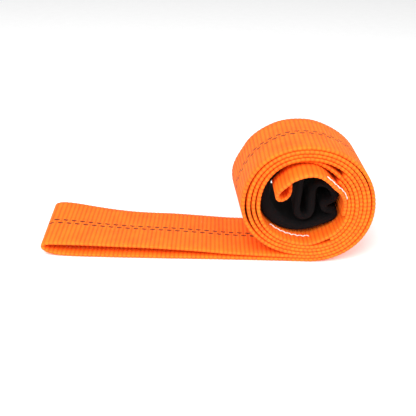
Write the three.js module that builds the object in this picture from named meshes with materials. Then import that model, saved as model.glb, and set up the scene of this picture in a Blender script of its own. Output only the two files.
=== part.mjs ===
// Tow strap, folded double at its middle and rolled up from its sewn end.
// Millimetres, +Z up. X runs along the tail to the roll, Y runs across the webbing, away from the viewer.
import * as THREE from 'three';

// Webbing and sleeve
const WEBBING_WIDTH = 50;
const WEBBING_THICKNESS = 2.2;
const PLY_GAP = 0.3;
const SLEEVE_WALL = 1.0;
const SLEEVE_CLEARANCE = 0.3;

// Roll: its reach from its middle to each side, and how far it leans and squares off between them
const ROLL_HEIGHT = 81.3;
const ROLL_CENTRE_HEIGHT = 40;
const ROLL_REACH_RIGHT = 42.35;
const ROLL_REACH_LEFT = 42;
const ROLL_LEAN = 0.74;
const ROLL_SQUARENESS = 0.55;

// Room between plies: beside the outermost one, and beside each of them on the left
const OUTER_SLACK = 0.5;
const LEFT_SLACK = 0.6;

// How far the roll's back edge stands out beyond its front edge, by angle from the bottom
const BACK_FLARE = [
  [0, 0], [60, -1.2], [90, -1.1], [120, -0.8], [150, -1.1], [180, 0.1], [210, 0.8],
  [240, 2], [268, 4.8], [290, 4.2], [325, 0], [360, 0],
];

// Angles along the wraps, in degrees from the bottom of the roll
const STEP = 6;
const LAP_START = 756;
const INNER_LAP_START = 798;
const LAP_END = 858;
const EYE_LEAVES_WRAP = 930;
const SLEEVE_MOUTH = 960;
const EYE_REACHES_CORE = 1116;
const LEG_TURN = 30;

// Spacing of the stations where the webbing leaves the wraps
const TAIL_SPACING = 3;
const CORE_SPACING = 1.5;

// Tail and fold, from under the roll to the floor again: x from the roll's middle, height of the ply's
// middle at its front edge, and how far its back edge lies from there in x and in height
const TAIL_TOP = [
  [0, 3.6, 0, 0], [-24, 4.3, 0, -0.7], [-48, 5.2, 0, -1.4], [-67, 6.6, 0, -1.8], [-87, 7.6, 0, -1.8],
  [-106, 8.2, 0, -2.1], [-119, 8.4, 0, -1.6], [-133, 8.7, 0, -0.3], [-144, 9, 0, 1.1], [-155, 9.1, 0, 2.9],
];
const FOLD = [
  [-163, 9.2, 0, 3.8], [-167, 9.1, -0.6, 3.9], [-169.5, 8.4, -1.2, 3.8], [-170.5, 7, -1.6, 3.5],
  [-170.1, 5.4, -1.6, 2.9], [-168.6, 4, -1.4, 2], [-166, 2.8, -1, 1.1], [-162.5, 2, -0.5, 0.4],
  [-158, 1.5, 0, 0], [-152, 1.2, 0, 0],
];
const TAIL_FLAT_START = -146;
const TAIL_FLAT_STEP = 12;
const TAIL_FLAT_END = -8;

// Height by which the outermost ply is off the floor at its first station past the roll's lowest line, so
// that the strap rests on the plain corners of a flat face
const FLOOR_LIFT = 0.1;

// Sideways shift of the eye in the roll, negative towards the viewer
const LEG_SHIFT = -12;
const SLEEVE_SHIFT = 12;

// The sleeve ends on the hairpin beside the curl, measured from the middle of the roll
const HAIRPIN_X = -10.4;

// Sewing thread
const THREAD_THICKNESS = 0.8;
const THREAD_ZIGZAG = 1.2;
const STITCH_ANGLE = 3;
const INNER_STITCHES = [666, 732];
const INNER_EDGE_DISTANCE = 7.5;
const OUTER_STITCHES = [831, 882];
const OUTER_EDGE_DISTANCE = 1.6;

const ORANGE = 0xff6a14;
const BLACK = 0x161417;
const WHITE = 0xf2ece6;

const pitch = WEBBING_THICKNESS + PLY_GAP;
const threadSeat = WEBBING_THICKNESS / 2 + PLY_GAP + THREAD_THICKNESS / 2;

// A value eased between key angles, such as a ply's place in the stack, counted inwards from the outermost
function atAngle(keys, angle) {
  const next = keys.findIndex(([keyAngle]) => keyAngle >= angle);
  if (next <= 0) return keys[Math.max(next, 0)][1];
  const [startAngle, startPlace] = keys[next - 1];
  const [endAngle, endPlace] = keys[next];
  const ease = THREE.MathUtils.smoothstep(angle, startAngle, endAngle);
  return THREE.MathUtils.lerp(startPlace, endPlace, ease);
}

// How far the back edge of the webbing lies from its front edge at a place in the roll
function flareAt(x, z) {
  const angle = THREE.MathUtils.euclideanModulo(
    THREE.MathUtils.radToDeg(Math.atan2(x, ROLL_CENTRE_HEIGHT - z)),
    360,
  );
  const share = atAngle(BACK_FLARE, angle) / ROLL_CENTRE_HEIGHT;
  return new THREE.Vector3(x * share, 0, (z - ROLL_CENTRE_HEIGHT) * share);
}

// A point on a ply's middle, with the offset of its back edge from its front edge
function station(x, shift, z, back = flareAt(x, z)) {
  return Object.assign(new THREE.Vector3(x, shift, z), { back });
}

// The middle of a ply on the roll at an angle and a place in the stack, or a point inset from it
function rollPoint(angle, place, shift = 0, inset = 0) {
  const turn = THREE.MathUtils.degToRad(angle);
  const sine = Math.sin(turn);
  const cosine = Math.cos(turn);
  const across = sine > 0 ? ROLL_REACH_RIGHT : ROLL_REACH_LEFT;
  const upright = cosine > 0 ? ROLL_CENTRE_HEIGHT : ROLL_HEIGHT - ROLL_CENTRE_HEIGHT;
  const corners = ROLL_LEAN * Math.sin(2 * turn) + ROLL_SQUARENESS * Math.sin(2 * turn) ** 2;
  const reach = 1 / Math.hypot(sine / across, cosine / upright) + corners;
  const slack = OUTER_SLACK * Math.min(place, 1) + (sine < 0 ? LEFT_SLACK * place : 0);
  const radius = reach - WEBBING_THICKNESS / 2 - place * pitch - slack * sine * sine - inset;
  return station(radius * sine, shift, ROLL_CENTRE_HEIGHT - radius * cosine);
}

function wrap(keys, from, to, shiftAt = () => 0) {
  const steps = Math.abs(to - from) / STEP;
  return Array.from({ length: steps + 1 }, (_, index) => {
    const angle = from + (Math.sign(to - from) * index * STEP);
    return rollPoint(angle, atAngle(keys, angle), shiftAt(angle));
  });
}

// A smooth line through chosen points, without its first and last point
function smooth(points, spacing) {
  const curve = new THREE.CatmullRomCurve3(points);
  const count = Math.round(curve.getLength() / spacing);
  return curve.getSpacedPoints(count).slice(1, -1).map(({ x, y, z }) => station(x, y, z));
}

// Bends a straight piece, whose z counts the stations, along those stations.
// Its x runs across the webbing and its y through its thickness.
function bend(geometry, stations) {
  const line = new THREE.CatmullRomCurve3(stations.map((point) => new THREE.Vector3(point.x, 0, point.z)));
  const normals = stations.map((_, index) => {
    const tangent = line.getTangent(index / (stations.length - 1));
    return new THREE.Vector3(-tangent.z, 0, tangent.x);
  });
  const position = geometry.getAttribute('position');
  const vertex = new THREE.Vector3();
  for (let index = 0; index < position.count; index += 1) {
    vertex.fromBufferAttribute(position, index);
    const count = Math.round(vertex.z);
    const place = stations[count].clone().addScaledVector(normals[count], vertex.y);
    place.y += vertex.x;
    place.addScaledVector(stations[count].back, place.y / WEBBING_WIDTH + 1 / 2);
    position.setXYZ(index, place.x, place.y, place.z);
  }
  geometry.computeVertexNormals();
  return geometry;
}

function strip(stations, width, thickness) {
  const steps = stations.length - 1;
  const box = new THREE.BoxGeometry(width, thickness, steps, 1, 1, steps);
  return bend(box.translate(0, 0, steps / 2), stations);
}

function rectangle(width, height) {
  const outline = [[-1, -1], [1, -1], [1, 1], [-1, 1]];
  return outline.map(([x, y]) => new THREE.Vector2(x * width / 2, y * height / 2));
}

// A flat tube with open ends
function tube(stations, innerWidth, innerThickness, wall) {
  const shape = new THREE.Shape(rectangle(innerWidth + 2 * wall, innerThickness + 2 * wall));
  shape.holes.push(new THREE.Path(rectangle(innerWidth, innerThickness)));
  const steps = stations.length - 1;
  return bend(new THREE.ExtrudeGeometry(shape, { depth: steps, steps, bevelEnabled: false }), stations);
}

function piece(name, geometry, color, roughness) {
  const material = new THREE.MeshStandardMaterial({ color, roughness, metalness: 0 });
  const mesh = new THREE.Mesh(geometry, material);
  mesh.name = name;
  return mesh;
}

// Places in the stack: two plies a turn, moved inwards on the left and under the roll
const lowerPly = [[0, 0], [270, 0], [360, 2], [630, 2], [720, 4], [LAP_END, 4]];
const upperPly = [[0, 1], [270, 1], [360, 3], [630, 3], [720, 5], [LAP_START, 6], [LAP_END, 6]];
const outerLeg = [
  [LAP_START, 5], [LAP_END, 5], [900, 4], [948, 4.3], [990, 4.3], [EYE_REACHES_CORE, 8.4],
];
const innerLeg = [[INNER_LAP_START, 7], [LAP_END, 7], [900, 5], [EYE_LEAVES_WRAP, 5.3]];

// A smooth stretch of the tail: the same curve at its front edge and, with the offsets, at its back edge
function tailStations(route, spacing) {
  const front = new THREE.CatmullRomCurve3(route.map(([x, z]) => new THREE.Vector3(x, 0, z)));
  const backRoute = route.map(([x, z, alongX, up]) => new THREE.Vector3(x + alongX, 0, z + up));
  const back = new THREE.CatmullRomCurve3(backRoute);
  const count = Math.round(front.getLength() / spacing);
  return Array.from({ length: count + 1 }, (_, index) => {
    const share = front.getUtoTmapping(index / count);
    const point = front.getPoint(share);
    return station(point.x, 0, point.z, back.getPoint(share).sub(point));
  });
}

// The doubled webbing: one ply from the seam out to the fold, the other back in below it
function strapStations() {
  const floor = [];
  for (let x = TAIL_FLAT_START; x < TAIL_FLAT_END; x += TAIL_FLAT_STEP) {
    floor.push(station(x, 0, WEBBING_THICKNESS / 2, new THREE.Vector3()));
  }
  const lower = wrap(lowerPly, 0, LAP_END);
  lower[1].z += FLOOR_LIFT;
  return [
    ...wrap(upperPly, LAP_END, STEP),
    ...tailStations([...TAIL_TOP, ...FOLD], TAIL_SPACING),
    ...floor,
    ...lower,
  ];
}

// The eye's route through the core of the roll, from the outer leg to the inner one: x, z and sideways shift
const CORE_ROUTE = [
  [17.3, 26.6, 12], [19.2, 28.4, 12], [19.7, 30.3, 12], [18.6, 31.9, 12], [16.5, 32.3, 12],
  [13.5, 33.3, 12], [12.4, 35.7, 12], [13.4, 38.1, 12], [16.0, 39.4, 12], [18.6, 41.9, 12],
  [18.2, 45.4, 12], [15.2, 49.0, 12], [10.2, 51.7, 12], [6.2, 50.9, 12], [4.3, 47.8, 12],
  [4.2, 40.0, 12], [4.2, 32.0, 12], [2.9, 28.8, 12], [-0.4, 27.3, 12], [-3.7, 28.8, 12],
  [-5.0, 32.0, 12], [-5.0, 40.0, 11.5], [-5.0, 48.0, 10], [-5.1, 52.8, 8.5], [-5.4, 55.6, 7.5],
  [-6.5, 58.0, 6.5], [-8.6, 59.0, 5], [-10.7, 58.2, 3.5], [-11.9, 56.0, 2],
  [-12.1, 53.2, 0], [-12.6, 50.8, -2], [-14.2, 48.9, -3.5], [-16.6, 48.0, -5], [-18.8, 48.3, -6.5],
  [-20.5, 49.8, -8], [-21.2, 52.3, -9], [-20.7, 55.2, -10.5], [-19.0, 58.1, -11.5], [-16.4, 60.7, -12],
];

function outerLegShift(angle) {
  return SLEEVE_SHIFT * THREE.MathUtils.smoothstep(angle, LAP_END, SLEEVE_MOUTH + LEG_TURN);
}

function innerLegShift(angle) {
  return LEG_SHIFT * THREE.MathUtils.smoothstep(angle, INNER_LAP_START, LAP_END + LEG_TURN);
}

const outerStations = wrap(outerLeg, LAP_START, EYE_REACHES_CORE, outerLegShift);
const innerStations = wrap(innerLeg, EYE_LEAVES_WRAP, INNER_LAP_START, innerLegShift);
const corePoints = CORE_ROUTE.map(([x, z, shift]) => new THREE.Vector3(x, shift, z));
const coreStations = smooth([outerStations.at(-1), ...corePoints, innerStations[0]], CORE_SPACING);
const eyeStations = [...outerStations, ...coreStations, ...innerStations];

// The sleeve covers the eye from its mouth on the outer leg to the hairpin beside the curl
const sleeveFirst = (SLEEVE_MOUTH - LAP_START) / STEP;
const sleeveLast = eyeStations.findIndex(
  (point, index) => index > outerStations.length && point.x < HAIRPIN_X && point.z > ROLL_CENTRE_HEIGHT,
);
const sleeveStations = eyeStations.slice(sleeveFirst, sleeveLast + 1);

// A zigzag row of stitches along the front edge of a ply, on the face that the inset gives
function stitchStations(keys, [from, to], inset, edgeDistance, shiftAt) {
  const count = Math.round((to - from) / STITCH_ANGLE);
  return Array.from({ length: count + 1 }, (_, index) => {
    const angle = THREE.MathUtils.lerp(from, to, index / count);
    const edge = shiftAt(angle) - WEBBING_WIDTH / 2 + edgeDistance;
    return rollPoint(angle, atAngle(keys, angle), edge + (index % 2) * THREAD_ZIGZAG, inset);
  });
}

const strap = new THREE.Group();
strap.add(piece('strap_webbing', strip(strapStations(), WEBBING_WIDTH, WEBBING_THICKNESS), ORANGE, 0.75));
strap.add(piece('eye_webbing', strip(eyeStations, WEBBING_WIDTH, WEBBING_THICKNESS), ORANGE, 0.75));

const sleeveInnerWidth = WEBBING_WIDTH + 2 * SLEEVE_CLEARANCE;
const sleeveInnerThickness = WEBBING_THICKNESS + 2 * SLEEVE_CLEARANCE;
const sleeveShape = tube(sleeveStations, sleeveInnerWidth, sleeveInnerThickness, SLEEVE_WALL);
strap.add(piece('eye_sleeve', sleeveShape, BLACK, 0.9));

const innerRow = stitchStations(upperPly, INNER_STITCHES, threadSeat, INNER_EDGE_DISTANCE, () => 0);
strap.add(piece('seam_thread_inner', strip(innerRow, THREAD_THICKNESS, THREAD_THICKNESS), WHITE, 0.6));
const outerRow = stitchStations(innerLeg, OUTER_STITCHES, -threadSeat, OUTER_EDGE_DISTANCE, innerLegShift);
strap.add(piece('seam_thread_outer', strip(outerRow, THREAD_THICKNESS, THREAD_THICKNESS), WHITE, 0.6));

const box = new THREE.Box3().setFromObject(strap);
const centre = box.getCenter(new THREE.Vector3());
strap.position.set(-centre.x, -centre.y, -box.min.z);

const group = new THREE.Group();
group.add(strap);
export default group;
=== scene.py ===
"""Tow strap, folded double and rolled up from its sewn end: its looks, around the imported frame."""
import math
import random

import bpy
import numpy as np
from bpy.props import FloatProperty, FloatVectorProperty, PointerProperty
from mathutils import Matrix, Vector, noise


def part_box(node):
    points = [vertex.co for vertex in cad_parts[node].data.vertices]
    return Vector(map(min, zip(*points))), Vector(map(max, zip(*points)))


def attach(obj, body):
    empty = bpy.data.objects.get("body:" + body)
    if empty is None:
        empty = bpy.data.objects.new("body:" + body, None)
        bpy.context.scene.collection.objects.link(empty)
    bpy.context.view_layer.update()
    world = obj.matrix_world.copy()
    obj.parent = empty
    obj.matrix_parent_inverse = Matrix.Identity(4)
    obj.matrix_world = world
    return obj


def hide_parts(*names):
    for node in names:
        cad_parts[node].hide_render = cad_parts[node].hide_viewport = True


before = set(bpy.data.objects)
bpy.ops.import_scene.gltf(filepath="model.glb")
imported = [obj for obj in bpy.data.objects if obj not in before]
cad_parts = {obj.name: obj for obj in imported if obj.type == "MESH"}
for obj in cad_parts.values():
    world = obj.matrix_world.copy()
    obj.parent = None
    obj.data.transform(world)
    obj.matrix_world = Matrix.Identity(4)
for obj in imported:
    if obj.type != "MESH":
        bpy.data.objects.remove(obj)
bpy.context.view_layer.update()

bl_info = {
    "name": "Rolled tow strap",
    "version": (1, 0, 0),
    "blender": (4, 5, 0),
    "location": "View3D > Sidebar > Tow strap",
    "description": "Makes the webbing, eye sleeve and sewing of a rolled tow strap",
    "category": "Add Mesh",
}

MM = 0.001
SEED = 7

# The roll's shape, in millimetres and in degrees round it from its bottom, with plies as in the frame
PLY_GAP = 0.3
ROLL_HEIGHT = 81.3
ROLL_CENTRE_HEIGHT = 40.0
ROLL_REACH_RIGHT = 42.35
ROLL_REACH_LEFT = 42.0
ROLL_LEAN = 0.74
ROLL_SQUARENESS = 0.55
OUTER_SLACK = 0.5
LEFT_SLACK = 0.6
BACK_FLARE = (
    (0, 0), (60, -1.2), (90, -1.1), (120, -0.8), (150, -1.1), (180, 0.1), (210, 0.8),
    (240, 2), (268, 4.8), (290, 4.2), (325, 0), (360, 0),
)
LAP_START = 756
INNER_LAP_START = 798
LAP_END = 858
EYE_LEAVES_WRAP = 930
SLEEVE_MOUTH = 960
# The fabric of the sleeve reaches this many degrees past the mouth of the plain tube
SLEEVE_OVERHANG = 18
EYE_REACHES_CORE = 1116
LEG_TURN = 30
LEG_SHIFT = -12.0
SLEEVE_SHIFT = 12.0
SLEEVE_CLEARANCE = 0.3
HAIRPIN_X = -10.4

LOWER_PLY = ((0, 0), (270, 0), (360, 2), (630, 2), (720, 4), (LAP_END, 4))
UPPER_PLY = ((0, 1), (270, 1), (360, 3), (630, 3), (720, 5), (LAP_START, 6), (LAP_END, 6))
OUTER_LEG = ((LAP_START, 5), (LAP_END, 5), (900, 4), (948, 4.3), (990, 4.3), (EYE_REACHES_CORE, 8.4))
INNER_LEG = ((INNER_LAP_START, 7), (LAP_END, 7), (900, 5), (EYE_LEAVES_WRAP, 5.3))

# The tail's upper ply and the fold: x from the roll's middle and height of the ply's middle at its
# front edge, then how far its back edge lies from there in x and in height
TAIL_TOP = (
    (0, 3.6, 0, 0), (-24, 4.3, 0, -0.7), (-48, 5.2, 0, -1.4), (-67, 6.6, 0, -1.8), (-87, 7.6, 0, -1.8),
    (-106, 8.2, 0, -2.1), (-119, 8.4, 0, -1.6), (-133, 8.7, 0, -0.3), (-144, 9, 0, 1.1), (-155, 9.1, 0, 2.9),
)
FOLD = (
    (-163, 9.2, 0, 3.8), (-167, 9.1, -0.6, 3.9), (-169.5, 8.4, -1.2, 3.8), (-170.5, 7, -1.6, 3.5),
    (-170.1, 5.4, -1.6, 2.9), (-168.6, 4, -1.4, 2), (-166, 2.8, -1, 1.1), (-162.5, 2, -0.5, 0.4),
    (-158, 1.5, 0, 0), (-152, 1.1, 0, 0),
)
TAIL_FLAT_START = -146
TAIL_FLAT_END = -8

# The eye's route through the core: x from the roll's middle, z above the floor, sideways shift
CORE_ROUTE = (
    (17.3, 26.6, 12), (19.2, 28.4, 12), (19.7, 30.3, 12), (18.6, 31.9, 12), (16.5, 32.3, 12),
    (13.5, 33.3, 12), (12.4, 35.7, 12), (13.4, 38.1, 12), (16.0, 39.4, 12), (18.6, 41.9, 12),
    (18.2, 45.4, 12), (15.2, 49.0, 12), (10.2, 51.7, 12), (6.2, 50.9, 12), (4.3, 47.8, 12),
    (4.2, 40.0, 12), (4.2, 32.0, 12), (2.9, 28.8, 12), (-0.4, 27.3, 12), (-3.7, 28.8, 12),
    (-5.0, 32.0, 12), (-5.0, 40.0, 11.5), (-5.0, 48.0, 10), (-5.1, 52.8, 8.5), (-5.4, 55.6, 7.5),
    (-6.5, 58.0, 6.5), (-8.6, 59.0, 5), (-10.7, 58.2, 3.5), (-11.9, 56.0, 2),
    (-12.1, 53.2, 0), (-12.6, 50.8, -2), (-14.2, 48.9, -3.5), (-16.6, 48.0, -5), (-18.8, 48.3, -6.5),
    (-20.5, 49.8, -8), (-21.2, 52.3, -9), (-20.7, 55.2, -10.5), (-19.0, 58.1, -11.5), (-16.4, 60.7, -12),
)

# The photograph's view, in millimetres from the roll's middle and the webbing's front edge, and degrees
LENS = 52.98
SENSOR = 36.0
CAMERA_SIDE = -62.3
CAMERA_DISTANCE = 339.7
CAMERA_HEIGHT = 219.2
CAMERA_PITCH = 28.02
CAMERA_YAW = 0.08
CAMERA_ROLL = 1.39

# The colour sockets of a mix node
MIX_FIRST = 6
MIX_SECOND = 7
MIX_RESULT = 2

# The webbing's colours: how dark the painted shade makes its grooves and the hollows between its yarns
# against the ribs, and how uneven its dye is
GROOVE_FALLOFF = 0.6
GROOVE_PAINTED_SHADE = 0.6
YARN_PAINTED_SHADE = 0.22
DYE_PATCHES = 0.09
DYE_UNEVENNESS = 0.5

# The tracer's dashes: share of two ribs that one covers, lag of one row on the other, strength of colour
DASH_SHARE = 0.56
DASH_LAG = 0.25
DASH_STRENGTH = 0.92

# The ribs and selvedges in the mesh, in millimetres where they are lengths
RIB_PROFILE = np.array([0.0, 0.72, 0.98, 0.98, 0.72])
RIB_SAMPLES = len(RIB_PROFILE)
RIB_UNEVENNESS = 0.2
SELVEDGE_SCALLOP = 0.3
SELVEDGE_ROUND = 0.5
SELVEDGE_PROFILE = ((0.15, 0.72), (0.0, 0.0), (0.15, -0.72))
FACE_COLUMNS = 11
WAVER_DEPTH = 0.16
WAVER_COUNT = 4

# The sleeve's cloth, in millimetres: its crumples, and its sag into the core past the mouth
SLEEVE_SPACING = 0.7
CRUMPLE_ALONG = 0.11
CRUMPLE_ACROSS = 0.08
CRUMPLE_LOW = -0.6
CRUMPLE_HIGH = 0.15
SAG_START = 5.0
SAG_LENGTH = 62.0
SAG_DEPTH = 3.2
LINING_SHARE = 0.96

# Rows of stitches: first and last angle with the spacing in degrees, distance from the front edge and
# swing of the zigzag in millimetres
INNER_ROW = ((666, 732, 4.5), 7.5, 1.2)
OUTER_ROW = ((829, 886, 5), 1.5, 1.4)
STITCH_RINGS = 7
STITCH_SIDES = 8

# Each lamp's name, its place, target and size in metres, and its share of the key light's power
LAMPS = (
    ("key_softbox", (-0.35, -0.7, 0.9), (0.0, 0.0, 0.03), 0.7, 1.0),
    ("fill_softbox", (0.8, -0.5, 0.6), (0.05, 0.0, 0.03), 0.8, 0.35),
)
ROOM_LIGHT = 0.75
FLOOR_DROP = 0.0002


def linear(code):
    """The linear colour of an sRGB hex code."""
    channels = [int(code[place:place + 2], 16) / 255 for place in (0, 2, 4)]
    return tuple(c / 12.92 if c <= 0.04045 else ((c + 0.055) / 1.055) ** 2.4 for c in channels)


def length(name, description, default):
    """A length setting, with its default given in millimetres."""
    return FloatProperty(name=name, description=description, default=default * MM, unit="LENGTH", precision=4)


def colour(name, description, code):
    """A colour setting, with its default given as an sRGB hex code."""
    return FloatVectorProperty(
        name=name, description=description, default=linear(code), subtype="COLOR", size=3, min=0, max=1,
    )


class WebbingSettings(bpy.types.PropertyGroup):
    width: length("Width", "Width of the webbing", 50)
    thickness: length("Thickness", "Thickness of one ply", 2.2)
    rib_pitch: length("Rib pitch", "Spacing of the woven ribs along the webbing", 2.85)
    rib_depth: length("Rib depth", "Depth of the grooves between the ribs", 0.2)
    yarn_pitch: length("Yarn pitch", "Spacing of the lengthwise yarns", 1.0)
    tracer_gap: length("Tracer gap", "Distance between the two rows of tracer dashes", 3.5)
    tracer_width: length("Tracer width", "Width of a tracer dash", 1.5)
    face: colour("Face", "Dyed polyester on the ribs", "FF7A10")
    # The groove colour is the dyed orange with painted shade: it stands for the bounced light and shadow in
    # the grooves
    groove: colour("Groove", "Dyed polyester between the ribs", "E02A00")
    tracer: colour("Tracer", "Tracer yarn along the middle", "4A120A")


class SleeveSettings(bpy.types.PropertyGroup):
    wall: length("Wall", "Thickness of the sleeve's fabric", 1.0)
    yarn_pitch: length("Yarn pitch", "Spacing of the sleeve's yarns", 0.8)
    puff: length("Puff", "How far the loose fabric stands off its even shape", 0.35)
    fabric: colour("Fabric", "Black woven polyester", "060506")
    worn: colour("Worn", "Lighter fibres, in soft patches", "0F0D0F")


class ThreadSettings(bpy.types.PropertyGroup):
    thickness: length("Thickness", "Thickness of the sewing thread", 0.8)
    thread: colour("Thread", "Bonded white polyester thread", "F4ECE4")
    hollow: colour("Hollow", "Shade between the twisted plies", "D8CEC4")


class StageSettings(bpy.types.PropertyGroup):
    size: FloatProperty(name="Floor", description="Side of the floor", default=6.0, unit="LENGTH")
    floor: colour("Floor colour", "Painted floor", "FBFBFB")
    peel: colour("Peel colour", "Faint orange peel in the paint", "F6F6F6")
    lamp_power: FloatProperty(name="Key light", description="Power of the key light in watts", default=14.0)


def at_angle(keys, angle):
    """A value eased between key angles, such as a ply's place in the stack."""
    angles = [key[0] for key in keys]
    values = [key[1] for key in keys]
    if angle <= angles[0]:
        return values[0]
    for first in range(len(keys) - 1):
        if angle <= angles[first + 1]:
            share = (angle - angles[first]) / (angles[first + 1] - angles[first])
            return values[first] + (values[first + 1] - values[first]) * share * share * (3 - 2 * share)
    return values[-1]


def station(x, shift, z):
    """A point on a ply's middle in the roll, with the offset of its back edge from its front edge."""
    angle = math.degrees(math.atan2(x, ROLL_CENTRE_HEIGHT - z)) % 360
    share = at_angle(BACK_FLARE, angle) / ROLL_CENTRE_HEIGHT
    return x, shift, z, x * share, (z - ROLL_CENTRE_HEIGHT) * share


def roll_point(angle, place, shift=0.0, inset=0.0):
    """The middle of a ply on the roll at an angle and a place in the stack, or a point inset from it."""
    thickness = bpy.context.scene.webbing_settings.thickness / MM
    sine = math.sin(math.radians(angle))
    cosine = math.cos(math.radians(angle))
    across = ROLL_REACH_RIGHT if sine > 0 else ROLL_REACH_LEFT
    upright = ROLL_CENTRE_HEIGHT if cosine > 0 else ROLL_HEIGHT - ROLL_CENTRE_HEIGHT
    double = 2 * sine * cosine
    oval = 1 / math.hypot(sine / across, cosine / upright)
    reach = oval + ROLL_LEAN * double + ROLL_SQUARENESS * double ** 2
    slack = OUTER_SLACK * min(place, 1) + (LEFT_SLACK * place if sine < 0 else 0)
    radius = reach - thickness / 2 - place * (thickness + PLY_GAP) - slack * sine * sine - inset
    return station(radius * sine, shift, ROLL_CENTRE_HEIGHT - radius * cosine)


def wrap(keys, start, end, shift_at=lambda angle: 0.0):
    """Points along one ply of the roll, a degree apart."""
    turn = 1 if end > start else -1
    angles = range(start, end + turn, turn)
    return [roll_point(angle, at_angle(keys, angle), shift_at(angle)) for angle in angles]


def smooth(points, samples=12):
    """Centripetal Catmull-Rom line through chosen points, without its first and last point."""
    knots = np.array(points, float)
    knots = np.vstack([2 * knots[0] - knots[1], knots, 2 * knots[-1] - knots[-2]])
    line = []
    for index in range(1, len(knots) - 2):
        p0, p1, p2, p3 = knots[index - 1:index + 3]
        t1 = np.linalg.norm((p1 - p0)[:3]) ** 0.5
        t2 = t1 + np.linalg.norm((p2 - p1)[:3]) ** 0.5
        t3 = t2 + np.linalg.norm((p3 - p2)[:3]) ** 0.5
        for t in np.linspace(t1, t2, samples, endpoint=False):
            a1 = p0 + (p1 - p0) * t / t1
            a2 = p1 + (p2 - p1) * (t - t1) / (t2 - t1)
            a3 = p2 + (p3 - p2) * (t - t2) / (t3 - t2)
            b1 = a1 + (a2 - a1) * t / t2
            b2 = a2 + (a3 - a2) * (t - t1) / (t3 - t1)
            line.append(b1 + (b2 - b1) * (t - t1) / (t2 - t1))
    return [tuple(point) for point in line[1:]]


def smoothstep(value, low, high):
    """0 below the low value and 1 above the high one, eased between them."""
    share = min(max((value - low) / (high - low), 0), 1)
    return share * share * (3 - 2 * share)


def outer_leg_shift(angle):
    """How far back the eye's outer leg lies at an angle, as it turns into the sleeve."""
    return SLEEVE_SHIFT * smoothstep(angle, LAP_END, SLEEVE_MOUTH + LEG_TURN)


def inner_leg_shift(angle):
    """How far forward the eye's inner leg lies at an angle, up to the curl."""
    return LEG_SHIFT * smoothstep(angle, INNER_LAP_START, LAP_END + LEG_TURN)


def strap_line():
    """The doubled webbing: from the seam out along the upper ply, round the fold and back in below it."""
    floor = bpy.context.scene.webbing_settings.thickness / MM / 2
    tail = smooth([(x, 0.0, z, back_x, back_z) for x, z, back_x, back_z in TAIL_TOP + FOLD])
    flat = [(x, 0.0, floor, 0.0, 0.0) for x in np.arange(TAIL_FLAT_START, TAIL_FLAT_END, 4.0)]
    return wrap(UPPER_PLY, LAP_END, 5) + tail + flat + wrap(LOWER_PLY, 0, LAP_END)


def eye_line():
    """The eye's webbing, and the indices in it between which the sleeve lies."""
    outer = wrap(OUTER_LEG, LAP_START, EYE_REACHES_CORE, outer_leg_shift)
    inner = wrap(INNER_LEG, EYE_LEAVES_WRAP, INNER_LAP_START, inner_leg_shift)
    core = smooth([outer[-1]] + [station(x, shift, z) for x, z, shift in CORE_ROUTE] + [inner[0]])
    line = outer + core + inner
    last = next(
        index for index, point in enumerate(line)
        if index > len(outer) and point[0] < HAIRPIN_X and point[2] > ROLL_CENTRE_HEIGHT
    )
    return line, (SLEEVE_MOUTH - SLEEVE_OVERHANG - LAP_START, last)


# Reach in millimetres to either side over which a line's direction is measured
TANGENT_REACH = 1.2


class Ribbon:
    """A line resampled at even spacing, with the frame that a ply's section needs."""

    def __init__(self, line, spacing):
        points = np.array(line, float)
        steps = np.linalg.norm(np.diff(points[:, :3], axis=0), axis=1)
        travelled = np.concatenate([[0], np.cumsum(steps)])
        self.length = travelled[-1]
        count = round(self.length / spacing)
        self.along = np.linspace(0, self.length, count + 1)
        self.points = np.stack([np.interp(self.along, travelled, column) for column in points.T], axis=1)
        window = round(TANGENT_REACH / spacing)
        outline = self.points[:, [0, 2]]
        padded = np.pad(outline, ((window, window), (0, 0)), mode="reflect", reflect_type="odd")
        tangent = padded[2 * window:] - padded[:-2 * window]
        tangent /= np.linalg.norm(tangent, axis=1)[:, None]
        self.normal = np.stack([-tangent[:, 1], tangent[:, 0]], axis=1)

    def sweep(self, across, through):
        """Rings of a section, given by its distance across and through at every station, in metres."""
        width = bpy.context.scene.webbing_settings.width / MM
        y = self.points[:, 1, None] + across
        depth = y / width + 0.5
        x = self.points[:, 0, None] + self.normal[:, 0, None] * through + self.points[:, 3, None] * depth
        z = self.points[:, 2, None] + self.normal[:, 1, None] * through + self.points[:, 4, None] * depth
        return place_in_frame(np.stack([x, y, z], axis=2))


def roll_middle():
    """Where the roll's middle line meets the floor, half way across the webbing, in the frame."""
    low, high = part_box("strap_webbing")
    return np.array([high.x - ROLL_REACH_RIGHT * MM, (low.y + high.y) / 2, 0.0])


def place_in_frame(points):
    """Moves points from the roll's own millimetres to the frame's metres."""
    return np.asarray(points) * MM + roll_middle()


def tube_faces(rings, ring, offset=0, flip=False):
    """Quads between neighbouring closed rings of vertices."""
    row = np.arange(rings - 1)[:, None] * ring
    here = np.arange(ring)[None, :]
    after = (here + 1) % ring
    quads = np.stack([row + here, row + ring + here, row + ring + after, row + after], axis=2).reshape(-1, 4)
    if flip:
        quads = quads[:, ::-1]
    return (quads + offset).tolist()


def mesh_object(name, vertices, faces, weave=None):
    """A smooth mesh object, with the weave's own coordinates in millimetres as a UV map."""
    mesh = bpy.data.meshes.new(name)
    mesh.from_pydata(np.asarray(vertices).reshape(-1, 3).tolist(), [], faces)
    mesh.polygons.foreach_set("use_smooth", [True] * len(mesh.polygons))
    if weave is not None:
        layer = mesh.uv_layers.new(name="weave")
        corners = np.empty(len(mesh.loops), np.int32)
        mesh.loops.foreach_get("vertex_index", corners)
        layer.data.foreach_set("uv", np.asarray(weave).reshape(-1, 2)[corners].ravel())
    mesh.update()
    mesh.validate()
    obj = bpy.data.objects.new(name, mesh)
    bpy.context.scene.collection.objects.link(obj)
    return obj


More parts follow.
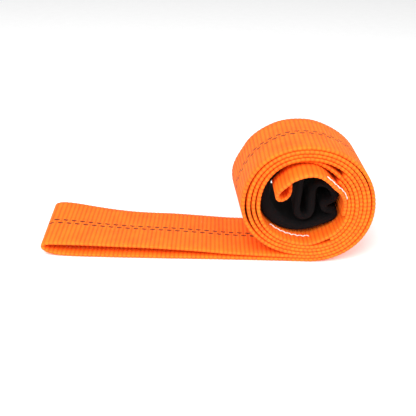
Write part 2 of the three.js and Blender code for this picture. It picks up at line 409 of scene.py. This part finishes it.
def add_node(tree, kind, settings=None, inputs=None, links=None):
    """A shader node with its settings, input values and incoming links."""
    node = tree.nodes.new(kind)
    for name, value in (settings or {}).items():
        setattr(node, name, value)
    for name, value in (inputs or {}).items():
        node.inputs[name].default_value = value
    for name, socket in (links or {}).items():
        tree.links.new(socket, node.inputs[name])
    return node


def new_material(name, **shader):
    """A material with a Principled shader, and that shader's node."""
    material = bpy.data.materials.new(name)
    material.use_nodes = True
    tree = material.node_tree
    principled = tree.nodes["Principled BSDF"]
    for key, value in shader.items():
        principled.inputs[key.replace("_", " ")].default_value = value
    return material, tree, principled


def math_node(tree, operation, first, second=0.0, clamp=False):
    """The result of a sum on sockets or numbers."""
    values = {}
    sockets = {}
    for index, value in enumerate((first, second)):
        kind = values if isinstance(value, (int, float)) else sockets
        kind[index] = value
    settings = {"operation": operation, "use_clamp": clamp}
    return add_node(tree, "ShaderNodeMath", settings, values, sockets).outputs[0]


def colour_mix(tree, share, first, second):
    """A mix of two colours, each a fixed colour or a socket, by a share on a socket."""
    node = add_node(tree, "ShaderNodeMix", {"data_type": "RGBA"}, links={0: share})
    for index, value in ((MIX_FIRST, first), (MIX_SECOND, second)):
        if isinstance(value, bpy.types.NodeSocket):
            tree.links.new(value, node.inputs[index])
        else:
            node.inputs[index].default_value = (*value, 1.0)
    return node.outputs[MIX_RESULT]


def finish_shader(tree, principled, base, height, strength, distance):
    """Gives a shader its base colour and its fine bumps, of a strength and a height in metres."""
    tree.links.new(base, principled.inputs["Base Color"])
    depth = {"Strength": strength, "Distance": distance}
    bump = add_node(tree, "ShaderNodeBump", inputs=depth, links={"Height": height})
    tree.links.new(bump.outputs[0], principled.inputs["Normal"])


def soft_patches(tree, weave, scale, detail):
    """Noise on the weave's own coordinates, for dye and wear that aren't quite even."""
    settings = {"noise_dimensions": "2D"}
    inputs = {"Scale": scale, "Detail": detail}
    return add_node(tree, "ShaderNodeTexNoise", settings, inputs, {"Vector": weave}).outputs[0]


def webbing_material():
    """Woven polyester webbing: dyed filament yarn, matt, with a dark tracer along its middle and painted
    shade in its grooves and between its yarns.
    """
    webbing = bpy.context.scene.webbing_settings
    material, tree, principled = new_material(
        "woven_polyester_webbing", Roughness=0.72, IOR=1.57, Specular_IOR_Level=0.22,
    )
    weave = add_node(tree, "ShaderNodeUVMap", {"uv_map": "weave"})
    place = add_node(tree, "ShaderNodeSeparateXYZ", links={0: weave.outputs[0]})
    ribs = math_node(tree, "DIVIDE", place.outputs[0], webbing.rib_pitch / MM)
    yarns = math_node(tree, "DIVIDE", place.outputs[1], webbing.yarn_pitch / MM)
    # Painted shade: grooves between ribs are painted deeper in colour, for the light that bounces between
    # dyed yarns there
    rib_wave = math_node(tree, "SINE", math_node(tree, "MULTIPLY", ribs, math.pi))
    rib_height = math_node(tree, "POWER", math_node(tree, "ABSOLUTE", rib_wave), GROOVE_FALLOFF)
    groove = math_node(tree, "SUBTRACT", 1.0, rib_height)
    # Each yarn passes over one rib and under the next, so its crowns shift by half a pitch from rib to rib
    parity = math_node(tree, "MULTIPLY", math_node(tree, "FLOOR", ribs), 0.5)
    turns = math_node(tree, "MULTIPLY", math_node(tree, "ADD", yarns, parity), 2 * math.pi)
    crown = math_node(tree, "MULTIPLY_ADD", math_node(tree, "SINE", turns), 0.5)
    crown.node.inputs[2].default_value = 0.5
    dye = soft_patches(tree, weave.outputs[0], scale=DYE_PATCHES, detail=3.0)
    # Painted shade in the grooves and in the hollows between the yarns' crowns, plus the dye's own uneven
    # patches
    groove_painted_shade = math_node(tree, "MULTIPLY", groove, GROOVE_PAINTED_SHADE)
    yarn_painted_shade = math_node(tree, "MULTIPLY", math_node(tree, "SUBTRACT", 1.0, crown), YARN_PAINTED_SHADE)
    dye_shade = math_node(tree, "MULTIPLY", math_node(tree, "SUBTRACT", dye, 0.5), DYE_UNEVENNESS)
    shade = math_node(tree, "ADD", math_node(tree, "ADD", groove_painted_shade, yarn_painted_shade), dye_shade, clamp=True)
    base = colour_mix(tree, shade, webbing.face, webbing.groove)
    tinted = colour_mix(tree, tracer_mask(tree, place, ribs), base, webbing.tracer)
    height = math_node(tree, "MULTIPLY", crown, math_node(tree, "SUBTRACT", 1.0, groove))
    finish_shader(tree, principled, tinted, height, strength=0.7, distance=0.00025)
    return material


def tracer_mask(tree, place, ribs):
    """1 on the tracer dashes: two rows, each over every second rib, staggered by one rib."""
    webbing = bpy.context.scene.webbing_settings
    rows = []
    for side in (-1, 1):
        offset = math_node(tree, "SUBTRACT", place.outputs[1], side * webbing.tracer_gap / MM / 2)
        half_dash = webbing.tracer_width / MM / 2
        on_row = math_node(tree, "LESS_THAN", math_node(tree, "ABSOLUTE", offset), half_dash)
        phase = math_node(tree, "ADD", math_node(tree, "MULTIPLY", ribs, 0.5), DASH_LAG * side)
        on_dash = math_node(tree, "LESS_THAN", math_node(tree, "FRACT", phase), DASH_SHARE)
        rows.append(math_node(tree, "MULTIPLY", on_row, on_dash))
    return math_node(tree, "MULTIPLY", math_node(tree, "ADD", *rows, clamp=True), DASH_STRENGTH)


def sleeve_material():
    """Soft black woven polyester: dull, a little lighter where its fibres are worn."""
    sleeve = bpy.context.scene.sleeve_settings
    material, tree, principled = new_material(
        "black_polyester_sleeve", Roughness=0.95, IOR=1.57, Specular_IOR_Level=0.15,
    )
    weave = add_node(tree, "ShaderNodeUVMap", {"uv_map": "weave"})
    place = add_node(tree, "ShaderNodeSeparateXYZ", links={0: weave.outputs[0]})
    frequency = 2 * math.pi * MM / sleeve.yarn_pitch
    waves = [
        math_node(tree, "SINE", math_node(tree, "MULTIPLY", place.outputs[axis], frequency))
        for axis in (0, 1)
    ]
    fibres = soft_patches(tree, weave.outputs[0], scale=0.35, detail=4.0)
    base = colour_mix(tree, fibres, sleeve.fabric, sleeve.worn)
    height = math_node(tree, "MULTIPLY", *waves)
    finish_shader(tree, principled, base, height, strength=0.6, distance=0.0003)
    return material


def thread_material():
    """Bonded polyester sewing thread: white, satin, with the twist of its plies."""
    thread = bpy.context.scene.thread_settings
    material, tree, principled = new_material(
        "bonded_polyester_thread", Roughness=0.5, IOR=1.57, Sheen_Weight=0.15,
    )
    weave = add_node(tree, "ShaderNodeUVMap", {"uv_map": "weave"})
    settings = {"bands_direction": "DIAGONAL"}
    twist = add_node(tree, "ShaderNodeTexWave", settings, {"Scale": 0.6}, {"Vector": weave.outputs[0]})
    base = colour_mix(tree, twist.outputs[1], thread.hollow, thread.thread)
    finish_shader(tree, principled, base, twist.outputs[1], strength=0.5, distance=0.0001)
    return material


def webbing_section(half_width, half_thickness):
    """The ply's section as a ring: distance across and through, and how far each point is on a selvedge."""
    face = np.linspace(SELVEDGE_ROUND - half_width, half_width - SELVEDGE_ROUND, FACE_COLUMNS)
    insets, heights = np.array(SELVEDGE_PROFILE).T
    heights = heights * half_thickness
    level = np.full(FACE_COLUMNS, half_thickness)
    on_face = np.zeros(FACE_COLUMNS)
    on_edge = np.ones(len(insets))
    across = np.concatenate([face, half_width - insets, face[::-1], insets - half_width])
    through = np.concatenate([level, heights, -level, -heights])
    selvedge = np.concatenate([on_face, on_edge, on_face, on_edge])
    return across, through, selvedge


def ribbed_webbing(name, line):
    """A ply of webbing along a line, with its woven ribs and rounded selvedges in the mesh."""
    webbing = bpy.context.scene.webbing_settings
    half_width = webbing.width / MM / 2
    half_thickness = webbing.thickness / MM / 2
    ribbon = Ribbon(line, webbing.rib_pitch / MM / RIB_SAMPLES)
    across, through, selvedge = webbing_section(half_width, half_thickness)
    stations = np.arange(len(ribbon.along))
    rib = stations // RIB_SAMPLES
    draw = random.Random(SEED + len(name))
    uneven = [draw.uniform(1 - RIB_UNEVENNESS, 1 + RIB_UNEVENNESS) for _ in range(rib[-1] + 1)]
    depth = webbing.rib_depth / MM * np.array(uneven)
    groove = (1 - RIB_PROFILE[stations % RIB_SAMPLES]) * depth[rib]
    ring_through = through - np.sign(through) * groove[:, None]
    ring_across = across - np.sign(across) * selvedge * groove[:, None] * SELVEDGE_SCALLOP
    # Woven edges are never quite straight
    ribbon.points[:, 1] += sum(
        WAVER_DEPTH * np.sin(ribbon.along / draw.uniform(9, 60) + draw.uniform(0, 6.3))
        for _ in range(WAVER_COUNT)
    )
    rings = ribbon.sweep(ring_across, ring_through)
    count, ring = len(stations), len(across)
    faces = tube_faces(count, ring)
    faces.append(list(range(ring)))
    faces.append(list(range(count * ring - 1, (count - 1) * ring - 1, -1)))
    weave = np.stack(np.broadcast_arrays(ribbon.along[:, None], across), axis=2)
    return mesh_object(name, rings, faces, weave), ribbon.length


def finish_piece(obj, material, node):
    """Gives a piece its material, its place in the frame and the node that it replaces."""
    obj.data.materials.append(material)
    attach(obj, "root")
    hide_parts(node)


class OBJECT_OT_webbing(bpy.types.Operator):
    """Makes the strap's doubled webbing and the webbing of its eye"""

    bl_idname = "tow_strap.webbing"
    bl_label = "Webbing"

    def execute(self, context):
        material = webbing_material()
        strap, strap_length = ribbed_webbing("ribbed_strap_webbing", strap_line())
        finish_piece(strap, material, "strap_webbing")
        line, _ = eye_line()
        eye, eye_length = ribbed_webbing("ribbed_eye_webbing", line)
        finish_piece(eye, material, "eye_webbing")
        return {"FINISHED"}


def sleeve_section(half_width, half_thickness, columns=14, arc=5):
    """A flat tube's ring, with half-round folds at its two edges."""
    straight = np.linspace(-(half_width - half_thickness), half_width - half_thickness, columns)
    turn = np.linspace(90, -90, arc + 2)[1:-1]
    edge_across = half_width - half_thickness + half_thickness * np.cos(np.radians(turn))
    edge_through = half_thickness * np.sin(np.radians(turn))
    across = np.concatenate([straight, edge_across, straight[::-1], -edge_across])
    through = np.concatenate([np.full(columns, half_thickness), edge_through,
                              np.full(columns, -half_thickness), -edge_through])
    return across, through


class OBJECT_OT_sleeve(bpy.types.Operator):
    """Makes the black fabric sleeve on the eye, folded up in the roll's core"""

    bl_idname = "tow_strap.sleeve"
    bl_label = "Eye sleeve"

    def execute(self, context):
        webbing = context.scene.webbing_settings
        sleeve = context.scene.sleeve_settings
        line, (first, last) = eye_line()
        ribbon = Ribbon(line[first:last + 1], SLEEVE_SPACING)
        wall = sleeve.wall / MM
        inner_width = webbing.width / MM / 2 + SLEEVE_CLEARANCE
        inner_thickness = webbing.thickness / MM / 2 + SLEEVE_CLEARANCE
        across, through = sleeve_section(inner_width + wall, inner_thickness + wall)
        inner_across, inner_through = sleeve_section(inner_width, inner_thickness)
        crumple = np.array([
            [noise.noise(Vector((station * CRUMPLE_ALONG, edge * CRUMPLE_ACROSS, SEED))) for edge in across]
            for station in ribbon.along
        ])
        swell = np.clip(-sleeve.puff / MM * (0.35 - 0.65 * crumple), CRUMPLE_LOW, CRUMPLE_HIGH)
        outer_through = through + np.sign(through) * swell
        # The loose fabric sags away from the plies on its first stretch, into the core
        sag = SAG_DEPTH * np.sin(np.pi * np.clip((ribbon.along - SAG_START) / SAG_LENGTH, 0, 1)) ** 2
        outer_through += np.clip(through / np.max(through), 0, 1) * sag[:, None]
        outer = ribbon.sweep(across, outer_through)
        # The inside is drawn in by a few hundredths, closer to the webbing
        inner = ribbon.sweep(inner_across, np.broadcast_to(inner_through, outer_through.shape) * LINING_SHARE)
        count, ring = outer_through.shape
        faces = tube_faces(count, ring) + tube_faces(count, ring, count * ring, flip=True)
        for here in range(ring):
            after = (here + 1) % ring
            end = (count - 1) * ring
            faces.append([here, after, count * ring + after, count * ring + here])
            faces.append([end + after, end + here, count * ring + end + here, count * ring + end + after])
        perimeter = np.concatenate([[0], np.cumsum(np.hypot(np.diff(across), np.diff(through)))])
        weave = np.stack(np.broadcast_arrays(ribbon.along[:, None], perimeter), axis=2)
        both = np.concatenate([weave, weave])
        obj = mesh_object("folded_eye_sleeve", np.concatenate([outer, inner]), faces, both)
        finish_piece(obj, sleeve_material(), "eye_sleeve")
        return {"FINISHED"}


def stitch(start, end, normal, thickness, bow):
    """One visible stitch: a short rope of thread that bows up between its two needle holes."""
    start, end, normal = (np.array(v, float) for v in (start, end, normal))
    along = (end - start) / np.linalg.norm(end - start)
    side = np.cross(along, normal)
    side /= np.linalg.norm(side)
    up = np.cross(side, along)
    rings = []
    for share in np.linspace(0, 1, STITCH_RINGS):
        height = bow * math.sin(math.pi * share) ** 0.7
        radius = thickness / 2 * (0.35 + 0.65 * math.sin(math.pi * min(max(share, 0.08), 0.92)) ** 0.35)
        centre = start + (end - start) * share + up * height
        rings.append([
            centre + radius * (math.cos(turn) * side + math.sin(turn) * up)
            for turn in np.linspace(0, 2 * math.pi, STITCH_SIDES, endpoint=False)
        ])
    return np.array(rings)


def joined_stitches(name, stitches):
    """One mesh of many stitches."""
    vertices, faces, weave = [], [], []
    for rings in stitches:
        count, ring = rings.shape[:2]
        offset = len(vertices)
        vertices.extend(rings.reshape(-1, 3))
        faces.extend(tube_faces(count, ring, offset))
        faces.append([offset + index for index in range(ring)])
        faces.append([offset + (count - 1) * ring + ring - 1 - index for index in range(ring)])
        weave.extend([(row * 0.4, column * 0.3) for row in range(count) for column in range(ring)])
    return mesh_object(name, place_in_frame(vertices), faces, weave)


def back_placed(point):
    """A point of the roll's section, moved by the flare that it has at its depth."""
    x, y, z, back_x, back_z = point
    depth = y * MM / bpy.context.scene.webbing_settings.width + 0.5
    return np.array([x + back_x * depth, y, z + back_z * depth])


def zigzag_row(keys, row, inset, shift_at, draw):
    """Stitches in a zigzag along the face of a ply that lies inset from its middle."""
    angles, edge_distance, swing = row
    webbing = bpy.context.scene.webbing_settings
    thread = bpy.context.scene.thread_settings
    half_width = webbing.width / MM / 2
    size = thread.thickness / MM
    corners = []
    for index, angle in enumerate(np.arange(*angles)):
        wobble = draw.uniform(-0.25, 0.25)
        shift = shift_at(angle) - half_width + edge_distance + (index % 2) * swing + wobble
        corners.append((angle, back_placed(roll_point(angle, at_angle(keys, angle), shift, inset))))
    rows = []
    for (angle, start), (_, end) in zip(corners, corners[1:]):
        turn = math.radians(angle)
        outwards = np.array([math.sin(turn), 0, -math.cos(turn)]) * (-1 if inset > 0 else 1)
        rows.append(stitch(start, end, outwards, size, size * 0.25))
    return rows


class OBJECT_OT_thread(bpy.types.Operator):
    """Sews the seam: a zigzag row of stitches on each of its two faces that show"""

    bl_idname = "tow_strap.thread"
    bl_label = "Sewing thread"

    def execute(self, context):
        webbing = context.scene.webbing_settings
        thread = context.scene.thread_settings
        seat = (webbing.thickness + thread.thickness) / MM / 2
        draw = random.Random(SEED)
        material = thread_material()
        inner = zigzag_row(UPPER_PLY, INNER_ROW, seat, lambda angle: 0.0, draw)
        obj = joined_stitches("seam_stitches_inner", inner)
        finish_piece(obj, material, "seam_thread_inner")
        outer = zigzag_row(INNER_LEG, OUTER_ROW, -seat, inner_leg_shift, draw)
        obj = joined_stitches("seam_stitches_outer", outer)
        finish_piece(obj, material, "seam_thread_outer")
        return {"FINISHED"}


def stage_material():
    """Matt white paint, rolled on: a faint orange peel."""
    stage = bpy.context.scene.stage_settings
    material, tree, principled = new_material("matt_white_paint", Roughness=0.9)
    peel = add_node(tree, "ShaderNodeTexNoise", inputs={"Scale": 400.0, "Detail": 2.0})
    base = colour_mix(tree, peel.outputs[0], stage.floor, stage.peel)
    tree.links.new(base, principled.inputs["Base Color"])
    return material


def area_light(name, place, target, size, power):
    """A soft square light, in metres and watts, aimed at a target."""
    light = bpy.data.lights.new(name, "AREA")
    light.size = size
    light.energy = power
    obj = bpy.data.objects.new(name, light)
    obj.location = place
    obj.rotation_euler = (Vector(target) - Vector(place)).to_track_quat("-Z", "Y").to_euler()
    bpy.context.scene.collection.objects.link(obj)


class OBJECT_OT_stage(bpy.types.Operator):
    """Makes the pale floor, the soft light and the photograph's camera"""

    bl_idname = "tow_strap.stage"
    bl_label = "Floor, light and camera"

    def execute(self, context):
        stage = context.scene.stage_settings
        half = stage.size / 2
        corners = [(-half, -half, 0), (half, -half, 0), (half, half, 0), (-half, half, 0)]
        floor = mesh_object("pale_floor", corners, [[0, 1, 2, 3]])
        floor.location.z = -FLOOR_DROP
        floor.data.materials.append(stage_material())
        for name, place, target, size, share in LAMPS:
            area_light(name, place, target, size, stage.lamp_power * share)
        world = bpy.data.worlds.new("soft_white_room")
        world.use_nodes = True
        world.node_tree.nodes["Background"].inputs["Color"].default_value = (1, 1, 1, 1)
        world.node_tree.nodes["Background"].inputs["Strength"].default_value = ROOM_LIGHT
        context.scene.world = world
        context.scene.view_settings.view_transform = "Standard"
        self.add_camera(context)
        return {"FINISHED"}

    def add_camera(self, context):
        """Sets up the camera that the photograph was taken with, as far as it could be worked out"""
        data = bpy.data.cameras.new("photo_camera")
        data.lens = LENS
        data.sensor_width = SENSOR
        camera = bpy.data.objects.new("photo_camera", data)
        low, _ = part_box("strap_webbing")
        camera.location = (
            roll_middle()[0] + CAMERA_SIDE * MM, low.y - CAMERA_DISTANCE * MM, CAMERA_HEIGHT * MM,
        )
        turned = (
            Matrix.Rotation(math.radians(CAMERA_YAW), 3, "Z")
            @ Matrix.Rotation(math.radians(90 - CAMERA_PITCH), 3, "X")
            @ Matrix.Rotation(math.radians(CAMERA_ROLL), 3, "Z")
        )
        camera.rotation_euler = turned.to_euler("XYZ")
        context.scene.collection.objects.link(camera)
        context.scene.camera = camera


class VIEW3D_PT_tow_strap(bpy.types.Panel):
    """Lists the strap's settings and the buttons that make it"""

    bl_label = "Tow strap"
    bl_idname = "VIEW3D_PT_tow_strap"
    bl_space_type = "VIEW_3D"
    bl_region_type = "UI"
    bl_category = "Tow strap"

    def draw(self, context):
        for group, operator in BUTTONS:
            box = self.layout.box()
            settings = getattr(context.scene, group)
            for name in settings.__annotations__:
                box.prop(settings, name)
            box.operator(operator)


BUTTONS = (
    ("stage_settings", "tow_strap.stage"),
    ("webbing_settings", "tow_strap.webbing"),
    ("sleeve_settings", "tow_strap.sleeve"),
    ("thread_settings", "tow_strap.thread"),
)
SETTINGS = {
    "webbing_settings": WebbingSettings,
    "sleeve_settings": SleeveSettings,
    "thread_settings": ThreadSettings,
    "stage_settings": StageSettings,
}
CLASSES = (OBJECT_OT_stage, OBJECT_OT_webbing, OBJECT_OT_sleeve, OBJECT_OT_thread, VIEW3D_PT_tow_strap)


def register():
    """Registers the settings, the operators and the panel"""
    for name, group in SETTINGS.items():
        bpy.utils.register_class(group)
        setattr(bpy.types.Scene, name, PointerProperty(type=group))
    for cls in CLASSES:
        bpy.utils.register_class(cls)


def unregister():
    """Takes out what register put in"""
    for cls in reversed(CLASSES):
        bpy.utils.unregister_class(cls)
    for name, group in SETTINGS.items():
        delattr(bpy.types.Scene, name)
        bpy.utils.unregister_class(group)


def main():
    """Makes the strap and its stage"""
    register()
    for _, operator in BUTTONS:
        family, name = operator.split(".")
        getattr(getattr(bpy.ops, family), name)()


if __name__ == "__main__":
    main()
